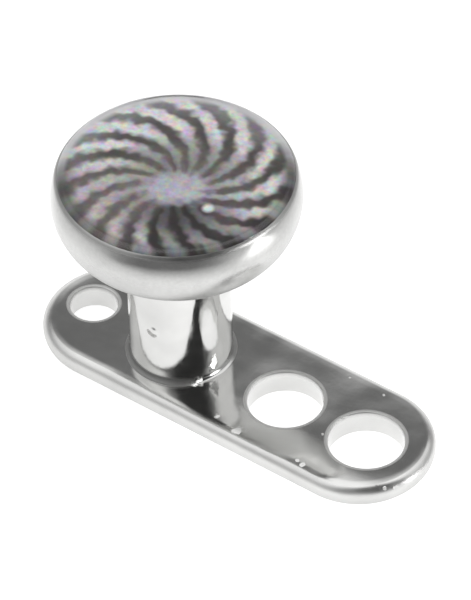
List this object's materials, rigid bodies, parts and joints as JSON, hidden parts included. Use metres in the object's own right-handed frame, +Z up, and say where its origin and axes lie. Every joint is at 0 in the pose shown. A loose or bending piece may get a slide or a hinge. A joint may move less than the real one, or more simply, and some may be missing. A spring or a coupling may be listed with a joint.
{
  "type": "dermal anchor",
  "caption": "Surface body jewel: a long foot plate with round holes and rounded edges, a short riser post, and a screwed disc top holding a swirl print under clear resin.",
  "frame": {"origin": "on the foot plate's underside, on the post's axis", "axes": "+Z up along the post, +X along the plate towards its long toe, +Y across the plate"},
  "size_m": [0.0073, 0.004, 0.0044],
  "materials": {
    "polished_steel": "mirror-polished surgical steel with fine pits",
    "print": "colour print of dark and pale curved rays, coarse dots",
    "clear_resin": "clear glossy resin"
  },
  "bodies": {
    "root": {"anchor_base": "polished_steel", "disc_cup": "polished_steel", "picture_disc": "print", "clear_dome": "clear_resin"}
  },
  "joints": []
}
